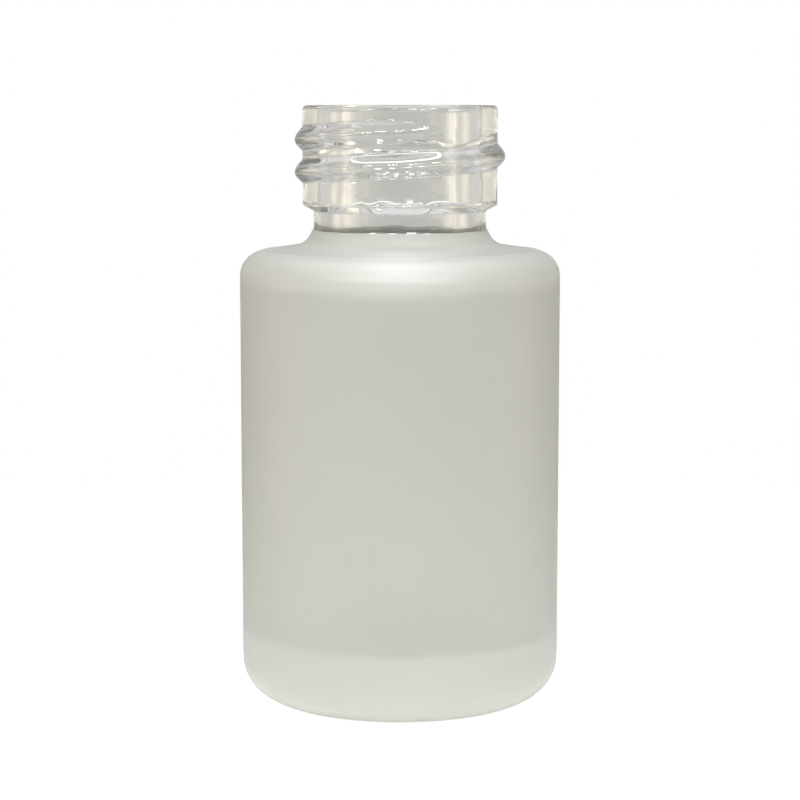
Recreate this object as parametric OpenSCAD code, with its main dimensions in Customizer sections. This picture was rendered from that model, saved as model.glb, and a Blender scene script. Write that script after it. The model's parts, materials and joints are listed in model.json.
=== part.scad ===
// Foundation bottle: a round, thick-walled glass bottle with a screw neck, and the satin frosting
// that covers it from the root of the neck down. Millimetres. The origin is the centre of the
// foot ring, on the table, and +Z is up through the mouth.

/* [Body] */
// Outside diameter of the frosted body
body_d = 30; // [28:0.5:34]
// Height at which the straight side ends and the shoulder corner begins
side_top = 39.8; // [36:0.2:48]
// Outside radius of the glass at the corner between base and side
heel_r = 3.55; // [2:0.05:4]
// Outside radius of the glass at the corner between side and shoulder
shoulder_r = 2.25; // [1.5:0.05:3]
// Fall of the shoulder from the neck outwards, in degrees
shoulder_fall = 8.8; // [5:0.2:14]
// Rise of the hollow under the base, at its centre
push_up = 0.8; // [0.5:0.1:1.5]
// Width of the flat ring that the bottle stands on
foot_w = 1; // [0.6:0.1:1.6]

/* [Hollow] */
// Glass thickness of the side
wall_t = 2.6; // [2:0.1:3.2]
// Height of the inside floor above the table
floor_z = 5.7; // [3.5:0.1:7]
// Inside radius of the corner between floor and side
inner_heel_r = 1.5; // [1:0.1:5]
// Inside radius of the corner between side and shoulder
inner_shoulder_r = 2.3; // [1:0.1:5.5]
// Glass thickness of the shoulder, where the neck stands on it
shoulder_t = 2.4; // [2:0.1:4]
// Radius that leads the hollow into the bore
bore_flare_r = 2; // [1:0.25:2.5]

/* [Neck] */
// Outside diameter of the plain neck under the finish
neck_d = 16.1; // [15.5:0.1:17]
// Radius of the hollow corner between shoulder and neck
neck_fillet_r = 2.15; // [1.5:0.05:2.5]
// Height of the plain neck between that corner and the finish
neck_h = 1.2; // [0.5:0.1:3]
// Diameter of the bore
bore_d = 10.2; // [9:0.1:11]

/* [Finish] */
// Outside diameter of the finish wall that carries the thread
finish_d = 18.2; // [17.8:0.1:18.8]
// Height of the finish, from its chamfered underside to the rim
finish_h = 9.8; // [9.4:0.1:12]
// Height of the chamfer under the finish
chamfer_h = 0.6; // [0.4:0.05:1]
// Radius of the rim's outer edge
lip_r = 0.45; // [0.3:0.05:0.8]
// Radius of the rim's inner edge
inner_lip_r = 0.7; // [0.4:0.05:1]

/* [Thread] */
// Outside diameter over the thread
thread_d = 19.7; // [19.4:0.1:20.2]
// Rise of the thread in one turn
thread_pitch = 3; // [2.8:0.1:3.2]
// Turns of thread, its two run-outs included
thread_turns = 1.5; // [1.2:0.05:1.6]
// Distance from the rim down to the crest at the thread's upper end
thread_drop = 2.25; // [2:0.05:2.6]
// Direction of the thread's upper end, in degrees from +X
thread_end_a = 296; // [0:1:359]
// Height of the thread's upper flank
upper_flank = 1.25; // [0.9:0.05:1.3]
// Height of the thread's lower flank
lower_flank = 1.05; // [0.7:0.05:1.2]
// Angle over which each end of the thread sinks into the wall
run_out_a = 40; // [30:5:70]

/* [Frosting] */
// Thickness of the frosting
frost_t = 0.1; // [0.08:0.01:0.15]
// Height of the frosting's upper edge above the foot of the neck corner
mask_rise = 1.6; // [0.8:0.1:2]
// Height of the frosting's lower edge above the table
mask_foot = 0.12; // [0.1:0.01:0.2]

/* [Hidden] */
$fn = 128;

glass_r = body_d / 2 - frost_t;
neck_r = neck_d / 2;
bore_r = bore_d / 2;
finish_r = finish_d / 2;

// Centres of the outside corners, as [radius, height]. A skin of any thickness shares them.
heel_c = [glass_r - heel_r, heel_r];
shoulder_c = [glass_r - shoulder_r, side_top];
fall_dir = [sin(shoulder_fall), cos(shoulder_fall)];
crown_start = shoulder_c + shoulder_r * fall_dir;
crown_end_r = neck_r + neck_fillet_r * (1 - fall_dir[0]);
crown_end = [crown_end_r, crown_start[1] + (crown_start[0] - crown_end_r) * tan(shoulder_fall)];
fillet_c = crown_end + neck_fillet_r * fall_dir;

finish_z = fillet_c[1] + neck_h;
rim_z = finish_z + finish_h;
mask_z = crown_end[1] + mask_rise;

// The hollow under the base is part of a large sphere that meets the foot ring's inner edge.
foot_r = heel_c[0] - foot_w;
hollow_r = (foot_r * foot_r + push_up * push_up) / (2 * push_up);

inner_r = glass_r - wall_t;
ceiling_z = crown_end[1] - shoulder_t;

thread_h = (thread_d - finish_d) / 2;
thread_toe = 0.06;      // depth inside the wall at which the curve of the flanks ends
thread_root = 0.5;      // how far the thread's solid reaches below that
thread_step_a = 7.5;    // angle between the sections that the thread is swept through
flank_steps = 4;        // steps of each flank
over = 1;               // how far a cut passes the surface it cuts

// Outside shape of the bottle below the finish, in the radius and height plane, with a skin added.
module body_outline(skin) {
    difference() {
        union() {
            polygon([
                [0, -skin], [heel_c[0], -skin], heel_c, [glass_r + skin, heel_c[1]],
                [glass_r + skin, side_top], shoulder_c, crown_start + skin * fall_dir,
                crown_end + skin * fall_dir, fillet_c, [neck_r + skin, fillet_c[1]],
                [neck_r + skin, finish_z], [0, finish_z]
            ]);
            translate(heel_c) circle(r = heel_r + skin);
            translate(shoulder_c) circle(r = shoulder_r + skin);
        }
        translate(fillet_c) circle(r = neck_fillet_r - skin);
        translate([0, push_up - hollow_r]) circle(r = hollow_r - skin);
        translate([-body_d, -over]) square([body_d, rim_z]);
    }
}

// Outside shape of the finish: chamfer, straight wall and rounded rim.
module finish_outline() {
    polygon([
        [0, finish_z - over], [neck_r, finish_z - over], [neck_r, finish_z],
        [finish_r, finish_z + chamfer_h], [finish_r, rim_z - lip_r],
        [finish_r - lip_r, rim_z - lip_r], [finish_r - lip_r, rim_z], [0, rim_z]
    ]);
    translate([finish_r - lip_r, rim_z - lip_r]) circle(r = lip_r);
}

// The hollow inside: floor, side, shoulder, the flare up into the bore, and the rim's inner edge.
module hollow_outline() {
    floor_c = [inner_r - inner_heel_r, floor_z + inner_heel_r];
    ceiling_c = [inner_r - inner_shoulder_r, ceiling_z - inner_shoulder_r];
    flare_c = [bore_r + bore_flare_r, ceiling_z + bore_flare_r];
    lip_c = [bore_r + inner_lip_r, rim_z - inner_lip_r];
    difference() {
        union() {
            polygon([
                [0, floor_z], [floor_c[0], floor_z], floor_c, [inner_r, floor_c[1]],
                [inner_r, ceiling_c[1]], ceiling_c, [ceiling_c[0], ceiling_z],
                [flare_c[0], ceiling_z], flare_c, [bore_r, flare_c[1]],
                [bore_r, lip_c[1]], lip_c, [lip_c[0], rim_z + over], [0, rim_z + over]
            ]);
            translate(floor_c) circle(r = inner_heel_r);
            translate(ceiling_c) circle(r = inner_shoulder_r);
        }
        translate(flare_c) circle(r = bore_flare_r);
        translate(lip_c) circle(r = inner_lip_r);
        translate([-body_d, 0]) square([body_d, rim_z + 2 * over]);
    }
}

// How far the thread has sunk at turn angle a: not at all between its run-outs, wholly at its ends.
function thread_sink(a) =
    let (left = min(a, thread_turns * 360 - a), part = min(1, left / run_out_a))
    (thread_h + thread_toe) * (1 + cos(180 * part)) / 2;

// One section of the thread, as [radius, height] points from its lower root to its upper root.
function thread_section(a) = [
    let (base_r = finish_r - thread_toe - thread_sink(a))
    for (i = [-flank_steps - 1 : flank_steps + 1])
        let (part = i / flank_steps, flank = part < 0 ? lower_flank : upper_flank)
        abs(i) > flank_steps
            ? [base_r - thread_root, sign(i) * (flank + thread_root / 2)]
            : [base_r + (thread_h + thread_toe) * cos(90 * part), part * flank]
];

// The external screw thread: sections swept along a right-hand helix, from the lower end up.
module thread() {
    steps = round(thread_turns * 360 / thread_step_a);
    count = 2 * flank_steps + 3;
    points = [
        for (k = [0 : steps])
            let (turned = thread_turns * 360 * k / steps)
            let (a = thread_end_a - thread_turns * 360 + turned)
            let (z = rim_z - thread_drop - (thread_turns - turned / 360) * thread_pitch)
            for (p = thread_section(turned)) [p[0] * cos(a), p[0] * sin(a), z + p[1]]
    ];
    sides = [
        for (k = [0 : steps - 1], i = [0 : count - 1])
            let (j = (i + 1) % count, low = k * count, high = low + count)
            each [[low + i, low + j, high + i], [high + i, low + j, high + j]]
    ];
    ends = [[for (i = [count - 1 : -1 : 0]) i], [for (i = [0 : count - 1]) steps * count + i]];
    polyhedron(points, concat(sides, ends), convexity = 6);
}

module glass_bottle() {
    color([0.86, 0.88, 0.86, 0.4]) union() {
        rotate_extrude() difference() {
            union() {
                body_outline(0);
                finish_outline();
            }
            hollow_outline();
        }
        thread();
    }
}

// The frosting on the outside and in the hollow of the base. The foot ring itself is bare.
module frost_coat() {
    color([0.9, 0.9, 0.87]) rotate_extrude() intersection() {
        difference() {
            body_outline(frost_t);
            body_outline(0);
        }
        translate([0, mask_foot]) square([body_d, mask_z - mask_foot]);
    }
}

glass_bottle();
frost_coat();
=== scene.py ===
"""The looks of a small frosted foundation bottle: clear moulded glass with a satin frosting below the neck.

Both pieces are surfaces of revolution drawn from one outline: a few corners, each with its radius.
The screw thread and the faint waviness of moulded glass are moved into the glass mesh itself.
"""
import json
import math

import bmesh
import bpy
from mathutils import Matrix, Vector, noise


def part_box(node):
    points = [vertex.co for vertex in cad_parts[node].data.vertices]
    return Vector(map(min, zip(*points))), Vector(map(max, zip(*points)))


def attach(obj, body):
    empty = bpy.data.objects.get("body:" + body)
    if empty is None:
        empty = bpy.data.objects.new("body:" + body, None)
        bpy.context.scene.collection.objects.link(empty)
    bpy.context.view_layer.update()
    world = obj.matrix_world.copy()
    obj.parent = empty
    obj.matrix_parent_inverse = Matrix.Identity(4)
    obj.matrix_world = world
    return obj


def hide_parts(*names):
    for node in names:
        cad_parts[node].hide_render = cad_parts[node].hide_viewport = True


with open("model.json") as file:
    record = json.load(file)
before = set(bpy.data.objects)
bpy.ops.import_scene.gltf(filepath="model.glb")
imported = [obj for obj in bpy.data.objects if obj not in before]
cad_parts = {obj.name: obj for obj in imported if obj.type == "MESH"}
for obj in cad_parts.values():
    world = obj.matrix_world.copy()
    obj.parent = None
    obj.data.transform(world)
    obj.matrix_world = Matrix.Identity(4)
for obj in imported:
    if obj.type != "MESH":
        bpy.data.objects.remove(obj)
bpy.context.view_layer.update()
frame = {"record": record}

MM = 0.001
TURN = 2 * math.pi

# --- Sizes, in millimetres unless the name says otherwise ----------------------------------------

coat_low, coat_high = (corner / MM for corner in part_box("frost_coat"))
glass_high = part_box("glass_bottle")[1] / MM
mounts = {mount["name"]: mount for mount in frame["record"]["mounts"]}

GLASS_R = glass_high.x
FROST_T = coat_high.x - GLASS_R
MASK_Z = coat_high.z
COAT_FOOT_Z = coat_low.z
RIM_Z = glass_high.z
BORE_R = mounts["neck_bore"]["dims"]["r_mm"]

PUSH_UP = 0.8
FOOT_R = 10.35
HEEL_R = 3.55
SIDE_TOP = 39.8
SHOULDER_R = 2.25
SHOULDER_FALL = math.radians(8.8)
NECK_R = 8.05
NECK_FILLET_R = 2.15
FINISH_R = 9.1
FINISH_Z = RIM_Z - 9.8
CHAMFER_H = 0.6
LIP_R = 0.45
INNER_LIP_R = 0.7
WALL_T = 2.6
FLOOR_Z = 5.7
INNER_HEEL_R = 1.5
INNER_SHOULDER_R = 2.3
SHOULDER_T = 2.4
FLARE_R = 2.0

THREAD_R = 9.85
THREAD_PITCH = 3.0
THREAD_TURNS = 1.5
THREAD_TOP_Z = RIM_Z - 2.25
THREAD_END_A = math.radians(296)
UPPER_FLANK = 1.25
LOWER_FLANK = 1.05
RUN_OUT_A = math.radians(40)
THREAD_TOE = 0.06
THREAD_BLEND = 0.10     # how softly the thread leaves the wall
THREAD_REACH = 1.3      # where the thread's section stops mattering, in flank heights from its crest

FOOT_EDGE_R = 0.25      # small roundings of the foot ring and the finish
FINISH_ROOT_R = 0.15
FINISH_EDGE_R = 0.18

# The raised line where two halves of the mould met, on the shoulder's edge
CROWN_RISE = 0.05
CROWN_W = 0.14
CROWN_REACH_R = 0.6
CROWN_REACH_Z = 0.5

# A small patch of creases on the wall of the bore
CHILL_A = math.radians(-79)
CHILL_Z = RIM_Z - 8.8
CHILL_W = 0.8
CHILL_H = 0.45
CHILL_DEPTH = 0.09
CHILL_GRAIN = 0.42

# Waviness of the glass in layers: size of the waves, height, seed
OUTER_WAVES = ((2.6, 0.012, 5), (1.1, 0.01, 41))
BORE_WAVES = ((3.4, 0.05, 11), (1.3, 0.02, 23))
WAVES_START_H = 0.4     # height over which the outer waves grow, from the frosting's edge up

# The frosting's upper edge: how far it wanders, over what length, how far it sags, and over what height
EDGE_WANDER = 0.05
EDGE_WAVE = 2.2
EDGE_SAG = 0.03
EDGE_H = 0.25

# Heights between which the frosting is painted brighter, as painted light for the glow of the thick base and
# the shoulder's highlight: downwards at the base, upwards at the shoulder
BASE_EDGE_Z = (7.0, 6.2)
SHOULDER_EDGE_Z = (38.7, 39.7)

SEGMENTS = 192          # around the axis
COAT_OVERLAP = 0.02     # how far the frosting's inner face is sunk into the glass, so that no air gap shows
PANEL_LAP = 0.3         # how far that face reaches past the other one in the hollow of the base

# Longest stretch of the outline between two rows of points
THREAD_STEP = 0.11
CROWN_STEP = 0.1
NECK_STEP = 0.2
PLAIN_STEP = 0.8


# --- Outline -------------------------------------------------------------------------------------

def rounded(corners, arc_step=math.radians(6)):
    """Points of a polyline of (radius, height, rounding) corners, each rounding made as a true arc."""
    points = []
    for k, (r, z, rounding) in enumerate(corners):
        here = Vector((r, z))
        if rounding <= 0 or k in (0, len(corners) - 1):
            points.append(here)
            continue
        before = (Vector(corners[k - 1][:2]) - here).normalized()
        after = (Vector(corners[k + 1][:2]) - here).normalized()
        half = before.angle(after) / 2
        centre = here + (before + after).normalized() * (rounding / math.sin(half))
        start = here + before * (rounding / math.tan(half)) - centre
        end = here + after * (rounding / math.tan(half)) - centre
        sweep = start.angle_signed(end)
        steps = max(2, math.ceil(abs(sweep) / arc_step))
        for i in range(steps + 1):
            a = -sweep * i / steps
            turned = Vector((start.x * math.cos(a) - start.y * math.sin(a),
                             start.x * math.sin(a) + start.y * math.cos(a)))
            points.append(centre + turned)
    return points


def subdivided(points, spacing):
    """The same polyline with no stretch longer than spacing(middle of the stretch)."""
    fine = [points[0]]
    for a, b in zip(points, points[1:]):
        steps = max(1, math.ceil((b - a).length / spacing((a + b) / 2)))
        fine += [a.lerp(b, i / steps) for i in range(1, steps + 1)]
    return fine


def shoulder_z(r, skin=0.0):
    """Height of the sloping top of the shoulder at radius r, with a skin laid on it."""
    start_r = GLASS_R - SHOULDER_R + SHOULDER_R * math.sin(SHOULDER_FALL)
    start_z = SIDE_TOP + SHOULDER_R * math.cos(SHOULDER_FALL)
    return start_z + (start_r - r) * math.tan(SHOULDER_FALL) + skin / math.cos(SHOULDER_FALL)


def outer_corners(skin=0.0):
    """Corners of the outside from the foot ring to the finish, with a skin of that thickness."""
    side_r, neck_r = GLASS_R + skin, NECK_R + skin
    return [
        (FOOT_R, -skin, FOOT_EDGE_R),
        (side_r, -skin, HEEL_R + skin),
        (side_r, shoulder_z(side_r, skin), SHOULDER_R + skin),
        (neck_r, shoulder_z(neck_r, skin), NECK_FILLET_R - skin),
    ]


def crown_start():
    """Radius and height at which the shoulder's slope runs into its rounded corner."""
    r = GLASS_R - SHOULDER_R + SHOULDER_R * math.sin(SHOULDER_FALL)
    return r, shoulder_z(r)


def near_crown(point):
    """Whether a point is close enough to that line to need a fine mesh."""
    r, z = crown_start()
    return abs(point.x - r) < CROWN_REACH_R and abs(point.y - z) < CROWN_REACH_Z


def base_hollow(skin=0.0, steps=14, reach=FOOT_R):
    """Points of the hollow under the base, from the axis out to a radius."""
    hollow_r = (FOOT_R ** 2 + PUSH_UP ** 2) / (2 * PUSH_UP)
    centre_z, r = PUSH_UP - hollow_r, hollow_r - skin
    return [Vector((x, centre_z + math.sqrt(r * r - x * x)))
            for x in (reach * i / steps for i in range(steps + 1))]


def glass_outline():
    """The glass from the centre of the base, up the outside, over the rim and down to the inside floor."""
    ceiling_z = shoulder_z(NECK_R + NECK_FILLET_R * (1 - math.sin(SHOULDER_FALL))) - SHOULDER_T
    inner_r = GLASS_R - WALL_T
    hollow = base_hollow()
    corners = [(*hollow[-2], 0)] + outer_corners() + [
        (NECK_R, FINISH_Z, FINISH_ROOT_R),
        (FINISH_R, FINISH_Z + CHAMFER_H, FINISH_EDGE_R),
        (FINISH_R, RIM_Z, LIP_R),
        (BORE_R, RIM_Z, INNER_LIP_R),
        (BORE_R, ceiling_z, FLARE_R),
        (inner_r, ceiling_z, INNER_SHOULDER_R),
        (inner_r, FLOOR_Z, INNER_HEEL_R),
        (0, FLOOR_Z, 0),
    ]

    def spacing(middle):
        on_thread = middle.x > NECK_R and FINISH_Z + CHAMFER_H < middle.y < RIM_Z - LIP_R
        in_neck = middle.y > MASK_Z - 0.3
        if on_thread:
            return THREAD_STEP
        if near_crown(middle):
            return CROWN_STEP
        return NECK_STEP if in_neck else PLAIN_STEP

    return hollow[:-2] + subdivided(rounded(corners), spacing)


# --- Thread and waviness -------------------------------------------------------------------------

def thread_ridge(angle, z):
    """How far the thread stands out of the finish wall at that angle and height, smoothly from 0."""
    total = THREAD_TURNS * TURN
    highest = 0.0
    for lap in range(math.ceil(THREAD_TURNS) + 1):
        back = (THREAD_END_A - angle) % TURN + lap * TURN
        if back > total:
            continue
        above = z - (THREAD_TOP_Z - THREAD_PITCH * back / TURN)
        share = above / (UPPER_FLANK if above > 0 else LOWER_FLANK)
        if abs(share) > THREAD_REACH:
            continue
        full = THREAD_R - FINISH_R + THREAD_TOE
        end_share = min(1.0, min(back, total - back) / RUN_OUT_A)
        sunk = full * (1 + math.cos(math.pi * end_share)) / 2
        height = full * math.cos(math.pi / 2 * share) - THREAD_TOE - sunk
        blended = (height + math.hypot(height, THREAD_BLEND)) / 2
        highest = max(highest, blended - THREAD_BLEND / 4)
    return max(0.0, highest)


def ripple(x, y, z, size, seed):
    """A smooth random number from about -1 to 1 with features of that size."""
    return noise.noise(Vector((x, y, z)) / size + Vector((seed, 0, 0)))


def waves(x, y, z, layers):
    """Layers of ripples added up."""
    return sum(height * ripple(x, y, z, size, seed) for size, height, seed in layers)


def chill_mark(angle, z):
    """A patch of small creases that the cold plunger leaves on the wall of the bore."""
    across = BORE_R * math.remainder(angle - CHILL_A, TURN)
    near = math.exp(-(across / CHILL_W) ** 2 - ((z - CHILL_Z) / CHILL_H) ** 2)
    return CHILL_DEPTH * near * ripple(across, 0, z, CHILL_GRAIN, 47)


def glass_radius(r, z, angle):
    """Radius of the glass surface where the outline has radius r: thread outside, waviness inside."""
    x, y = r * math.cos(angle), r * math.sin(angle)
    outside = r > NECK_R - 0.1 and z > MASK_Z
    if outside:
        grown = min(1.0, (z - MASK_Z) / WAVES_START_H)
        r += grown * waves(x, y, z, OUTER_WAVES)
        if FINISH_Z + CHAMFER_H < z < RIM_Z - LIP_R:
            r += thread_ridge(angle, z)
    elif z > FLOOR_Z and r < NECK_R:
        r += waves(x, y, z, BORE_WAVES) + chill_mark(angle, z)
    return r


def crown_line(r, z):
    """Rise of the fine raised line where two halves of the mould met on the shoulder."""
    line_r, line_z = crown_start()
    if abs(z - line_z) > CROWN_REACH_Z:
        return 0.0
    return CROWN_RISE * math.exp(-((r - line_r) / CROWN_W) ** 2)


def glass_height(r, z, angle):
    """Height of the glass surface where the outline has height z: the same at every angle."""
    return z + crown_line(r, z)


# --- Meshes --------------------------------------------------------------------------------------

def revolve(name, loops, radius=lambda r, z, angle: r, height=lambda r, z, angle: z):
    """A closed mesh of outlines turned about Z. An outline that starts on the axis also ends on it;
    any other is a closed ring."""
    mesh = bmesh.new()
    for outline in loops:
        on_axis = outline[0].x < 1e-9
        rows = []
        for point in outline:
            if point.x < 1e-9:
                rows.append([mesh.verts.new((0, 0, point.y * MM))])
                continue
            row = []
            for k in range(SEGMENTS):
                angle = TURN * k / SEGMENTS
                r = radius(point.x, point.y, angle)
                z = height(point.x, point.y, angle)
                row.append(mesh.verts.new((r * math.cos(angle) * MM, r * math.sin(angle) * MM, z * MM)))
            rows.append(row)
        pairs = list(zip(rows, rows[1:]))
        if not on_axis:
            pairs.append((rows[-1], rows[0]))
        for low, high in pairs:
            for k in range(SEGMENTS):
                n = (k + 1) % SEGMENTS
                if len(low) == 1:
                    mesh.faces.new((low[0], high[n], high[k]))
                elif len(high) == 1:
                    mesh.faces.new((low[k], low[n], high[0]))
                else:
                    mesh.faces.new((low[k], low[n], high[n], high[k]))
    bmesh.ops.recalc_face_normals(mesh, faces=mesh.faces)
    data = bpy.data.meshes.new(name)
    mesh.to_mesh(data)
    mesh.free()
    data.shade_smooth()
    piece = bpy.data.objects.new(name, data)
    bpy.context.scene.collection.objects.link(piece)
    return piece


def clipped(points, low, high):
    """The part of a rising polyline between two heights, with new ends exactly on them."""
    kept = []
    for a, b in zip(points, points[1:]):
        for limit in (low, high):
            if (a.y - limit) * (b.y - limit) < 0:
                kept.append(a.lerp(b, (limit - a.y) / (b.y - a.y)))
        if low <= b.y <= high:
            kept.append(b)
    return kept


def skin_outline():
    """Closed ring outline of the frosting on the outside of the bottle."""
    def face(skin):
        corners = outer_corners(skin) + [(NECK_R + skin, FINISH_Z, 0)]
        fine = subdivided(rounded(corners), lambda middle: CROWN_STEP if near_crown(middle) else PLAIN_STEP)
        return clipped(fine, COAT_FOOT_Z, MASK_Z)

    return face(FROST_T) + face(-COAT_OVERLAP)[::-1]


def base_panel_outline():
    """Outline of the frosting in the hollow of the base, from the axis out and back."""
    reach = FOOT_R * math.sqrt(1 - (COAT_FOOT_Z + FROST_T) / PUSH_UP)
    buried = base_hollow(-COAT_OVERLAP, reach=reach + PANEL_LAP)
    return base_hollow(FROST_T, reach=reach) + buried[::-1]


def mask_edge(r, z, angle):
    """The frosting's upper edge wanders a little, as it does at the lip of a masking cap."""
    x, y = r * math.cos(angle), r * math.sin(angle)
    near = max(0.0, 1 - (MASK_Z - z) / EDGE_H)
    return z + near * (EDGE_WANDER * ripple(x, y, 0, EDGE_WAVE, 31) - EDGE_SAG) + crown_line(r, z)


# --- Materials -----------------------------------------------------------------------------------

def new_material(name):
    material = bpy.data.materials.new(name)
    material.use_nodes = True
    nodes = material.node_tree.nodes
    return material, nodes, material.node_tree.links, nodes["Principled BSDF"]


def object_noise(nodes, links, scale, detail=3.0):
    """Noise fixed to the object, so that it stays put from every side. The scale is per metre."""
    place = nodes.new("ShaderNodeTexCoord")
    texture = nodes.new("ShaderNodeTexNoise")
    texture.inputs["Scale"].default_value = scale
    texture.inputs["Detail"].default_value = detail
    links.new(place.outputs["Object"], texture.inputs["Vector"])
    return texture.outputs["Fac"]


def ranged(nodes, links, value, low, high):
    node = nodes.new("ShaderNodeMapRange")
    node.inputs["To Min"].default_value = low
    node.inputs["To Max"].default_value = high
    links.new(value, node.inputs["Value"])
    return node.outputs["Result"]


def eased(nodes, links, value, start, end, low=0.0, high=1.0):
    """Low where the value is up to start and high beyond end, smoothly between them."""
    node = nodes.new("ShaderNodeMapRange")
    node.interpolation_type = "SMOOTHSTEP"
    node.inputs["From Min"].default_value = start
    node.inputs["From Max"].default_value = end
    node.inputs["To Min"].default_value = low
    node.inputs["To Max"].default_value = high
    links.new(value, node.inputs["Value"])
    return node.outputs["Result"]


def combined(nodes, links, operation, first, second):
    """Two values joined by a math operation. The second may be a plain number."""
    node = nodes.new("ShaderNodeMath")
    node.operation = operation
    links.new(first, node.inputs[0])
    if isinstance(second, (int, float)):
        node.inputs[1].default_value = second
    else:
        links.new(second, node.inputs[1])
    return node.outputs["Value"]


def tinted(nodes, links, value, low, high):
    node = nodes.new("ShaderNodeMix")
    node.data_type = "RGBA"
    node.inputs["A"].default_value = (*low, 1)
    node.inputs["B"].default_value = (*high, 1)
    links.new(value, node.inputs["Factor"])
    return node.outputs["Result"]


def bumped(nodes, links, value, distance, shader):
    node = nodes.new("ShaderNodeBump")
    node.inputs["Strength"].default_value = 1.0
    node.inputs["Distance"].default_value = distance
    links.new(value, node.inputs["Height"])
    links.new(node.outputs["Normal"], shader.inputs["Normal"])


def clear_glass():
    """Fire-polished soda glass: a breath of grey green, and slow ripples that bend what shows through."""
    material, nodes, links, shader = new_material("clear_glass")
    streaks = object_noise(nodes, links, scale=260)
    tint = tinted(nodes, links, streaks, (0.975, 0.985, 0.97), (0.995, 0.995, 0.985))
    links.new(tint, shader.inputs["Base Color"])
    links.new(ranged(nodes, links, streaks, 0.0, 0.05), shader.inputs["Roughness"])
    bumped(nodes, links, object_noise(nodes, links, scale=420, detail=2.0), 0.02 * MM, shader)
    shader.inputs["IOR"].default_value = 1.52
    shader.inputs["Transmission Weight"].default_value = 1.0
    return material


def height_share(nodes, links, start, end):
    """0 up to one height in millimetres and 1 beyond another, going up or down, smoothly between them."""
    place = nodes.new("ShaderNodeTexCoord")
    parts = nodes.new("ShaderNodeSeparateXYZ")
    links.new(place.outputs["Object"], parts.inputs["Vector"])
    return eased(nodes, links, parts.outputs["Z"], start * MM, end * MM)


def frosting():
    """Satin frosting: translucent, faintly warm, with a fine grain and slightly uneven cover. Over the solid
    glass of the base and on the shoulder it lets less light through, which paints them brighter: painted
    light for the glow of the thick base and the shoulder's highlight. It is also smoother on the shoulder."""
    material, nodes, links, shader = new_material("frosting")
    cover = object_noise(nodes, links, scale=180)
    grain = object_noise(nodes, links, scale=9000, detail=2.0)
    tint = tinted(nodes, links, cover, (0.955, 0.955, 0.905), (0.975, 0.972, 0.93))
    links.new(tint, shader.inputs["Base Color"])
    at_base = height_share(nodes, links, *BASE_EDGE_Z)
    at_shoulder = height_share(nodes, links, *SHOULDER_EDGE_Z)
    matt = ranged(nodes, links, cover, 0.48, 0.56)
    smoothing = ranged(nodes, links, at_shoulder, 0.0, 0.14)
    links.new(combined(nodes, links, "SUBTRACT", matt, smoothing), shader.inputs["Roughness"])
    bumped(nodes, links, grain, 0.012 * MM, shader)
    shader.inputs["IOR"].default_value = 1.5
    # painted light: less transmission over the base and the shoulder paints them brighter, for the glow of
    # the thick base and the shoulder's highlight
    painted_glow_share = combined(nodes, links, "MAXIMUM", at_base, at_shoulder)
    links.new(ranged(nodes, links, painted_glow_share, 0.74, 0.67), shader.inputs["Transmission Weight"])
    return material


def faded(nodes, links, reach, near=1.0, far=0.0):
    """One value near the object's own origin and another far from it, smoothly between two distances."""
    place = nodes.new("ShaderNodeTexCoord")
    length = nodes.new("ShaderNodeVectorMath")
    length.operation = "LENGTH"
    links.new(place.outputs["Object"], length.inputs[0])
    return eased(nodes, links, length.outputs["Value"], *reach, near, far)


def light_table():
    """Pale opal sheet with a ring of light round the bottle's foot. It fades out, so there is no horizon."""
    material, nodes, links, shader = new_material("light_table")
    grain = object_noise(nodes, links, scale=60, detail=4.0)
    tint = tinted(nodes, links, grain, (0.80, 0.80, 0.79), (0.83, 0.83, 0.82))
    links.new(tint, shader.inputs["Base Color"])
    shader.inputs["Roughness"].default_value = 0.9
    shader.inputs["Specular IOR Level"].default_value = 0.1
    shader.inputs["Emission Color"].default_value = (1, 1, 0.97, 1)
    start = faded(nodes, links, LAMP_START, 0.0, LAMP_GLOW)
    end = faded(nodes, links, LAMP_END)
    links.new(combined(nodes, links, "MULTIPLY", start, end), shader.inputs["Emission Strength"])
    links.new(faded(nodes, links, TABLE_REACH), shader.inputs["Alpha"])
    return material


# --- The bottle ----------------------------------------------------------------------------------

glass = revolve("bottle_glass", [glass_outline()], radius=glass_radius, height=glass_height)
glass.data.materials.append(clear_glass())
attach(glass, "root")
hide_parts("glass_bottle")

coat = revolve("bottle_frosting", [skin_outline(), base_panel_outline()], height=mask_edge)
coat.data.materials.append(frosting())
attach(coat, "root")
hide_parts("frost_coat")


# --- Studio: floor, light and camera, in metres and degrees --------------------------------------

TABLE_REACH = (0.03, 0.14)      # where the table starts and ends fading out
LAMP_START = (0.0105, 0.0125)   # where the ring lamp under the heel starts, from the middle out
LAMP_END = (0.017, 0.028)       # and where it ends
LAMP_GLOW = 0.6

# The high window in front of the bottle is a row of panes. Azimuth 0 is the camera's side.
PANE_AZIMUTHS = (-38, -10, 15, 40)
PANE_ELEVATION = 24
PANE_SIZE = (0.07, 0.04)
PANE_AIM_Z = 0.044

WHITE = (1, 1, 1)
CREAM = (1, 0.95, 0.8)
WARM = (1, 0.9, 0.7)
COOL = (0.85, 0.9, 1)

WIDE, NARROW = 4, 40    # how sharply a glow is aimed

AMBIENT = 0.25          # strength of the cool light from all round
# Soft glows of the room: direction, aim, tint, strength
GLOWS = [
    ((0, 1, 0), WIDE, CREAM, 0.35),
    ((-1, -1, 0), WIDE, CREAM, 0.35),
    ((0, 0, 1), WIDE, WHITE, 2.6),
]
for side in (-1, 1):
    GLOWS += [
        ((side, 0, 0), WIDE, WARM, 0.6),
        ((side, 0, 0), NARROW, WARM, 2),
        ((side, 1, 0), NARROW, WARM, 0.35),
    ]

# The camera: a long lens at rim height, tipped a little down
EYE = (0, -0.2155, 0.055)
TILT = 7.15
LENS = 103.3


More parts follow.
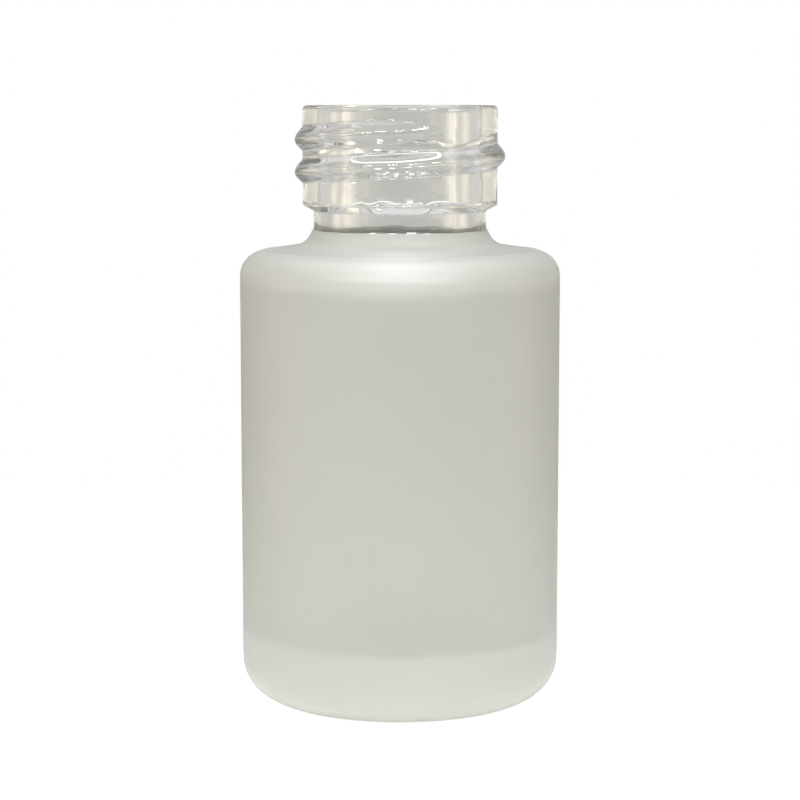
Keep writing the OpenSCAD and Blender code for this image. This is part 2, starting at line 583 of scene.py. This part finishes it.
def floor_disc(radius=0.4, segments=96):
    mesh = bmesh.new()
    bmesh.ops.create_circle(mesh, cap_ends=True, segments=segments, radius=radius)
    data = bpy.data.meshes.new("floor")
    mesh.to_mesh(data)
    mesh.free()
    floor = bpy.data.objects.new("floor", data)
    bpy.context.scene.collection.objects.link(floor)
    floor.data.materials.append(light_table())


def window_pane(azimuth, elevation, distance=0.4, watts=0.28):
    """One pane of the window, facing the bottle."""
    centre = Vector((0, 0, PANE_AIM_Z))
    light = bpy.data.lights.new("window_pane", "AREA")
    light.shape = "RECTANGLE"
    light.size, light.size_y = PANE_SIZE
    light.energy = watts
    pane = bpy.data.objects.new("window_pane", light)
    level = math.cos(elevation)
    away = Vector((level * math.sin(azimuth), -level * math.cos(azimuth), math.sin(elevation)))
    pane.location = centre + distance * away
    pane.rotation_euler = (-away).to_track_quat("-Z", "Y").to_euler()
    bpy.context.scene.collection.objects.link(pane)


def vector_step(nodes, links, operation, first, second):
    node = nodes.new("ShaderNodeVectorMath")
    node.operation = operation
    links.new(first, node.inputs[0])
    links.new(second, node.inputs["Scale" if operation == "SCALE" else 1])
    return node.outputs["Vector"]


def fixed_vector(nodes, parts):
    node = nodes.new("ShaderNodeCombineXYZ")
    for k in range(3):
        node.inputs[k].default_value = parts[k]
    return node.outputs["Vector"]


def glow(nodes, links, direction, aim, tint, strength):
    """Light that is strongest from one direction and falls off smoothly around it."""
    place = nodes.new("ShaderNodeTexCoord")
    facing = nodes.new("ShaderNodeVectorMath")
    facing.operation = "DOT_PRODUCT"
    facing.inputs[1].default_value = Vector(direction).normalized()
    links.new(place.outputs["Generated"], facing.inputs[0])
    ahead = combined(nodes, links, "MAXIMUM", facing.outputs["Value"], 0)
    focus = combined(nodes, links, "POWER", ahead, aim)
    return vector_step(nodes, links, "SCALE", fixed_vector(nodes, strength * Vector(tint)), focus)


def surroundings():
    """A pale room: plain white as a backdrop, and as light a handful of soft glows."""
    world = bpy.data.worlds.new("room")
    bpy.context.scene.world = world
    world.use_nodes = True
    nodes, links = world.node_tree.nodes, world.node_tree.links
    total = fixed_vector(nodes, AMBIENT * Vector(COOL))
    for row in GLOWS:
        total = vector_step(nodes, links, "ADD", total, glow(nodes, links, *row))
    light = nodes["Background"]
    links.new(total, light.inputs["Color"])
    backdrop = nodes.new("ShaderNodeBackground")
    backdrop.inputs["Color"].default_value = (1, 1, 1, 1)
    path = nodes.new("ShaderNodeLightPath")
    choice = nodes.new("ShaderNodeMixShader")
    links.new(path.outputs["Is Camera Ray"], choice.inputs["Fac"])
    links.new(light.outputs["Background"], choice.inputs[1])
    links.new(backdrop.outputs["Background"], choice.inputs[2])
    links.new(choice.outputs["Shader"], nodes["World Output"].inputs["Surface"])


def camera():
    """The camera in front of the bottle, on a full frame sensor."""
    data = bpy.data.cameras.new("camera")
    data.lens, data.sensor_width = LENS, 36.0
    data.clip_start = 0.01
    viewer = bpy.data.objects.new("camera", data)
    viewer.location = EYE
    viewer.rotation_euler = (math.radians(90 - TILT), 0, 0)
    bpy.context.scene.collection.objects.link(viewer)
    bpy.context.scene.camera = viewer


floor_disc()
surroundings()
camera()
for azimuth in PANE_AZIMUTHS:
    window_pane(math.radians(azimuth), math.radians(PANE_ELEVATION))

scene = bpy.context.scene
scene.view_settings.view_transform = "Standard"
scene.cycles.max_bounces = 24
scene.cycles.transmission_bounces = 24
scene.cycles.glossy_bounces = 12
scene.cycles.diffuse_bounces = 4
scene.cycles.use_denoising = True
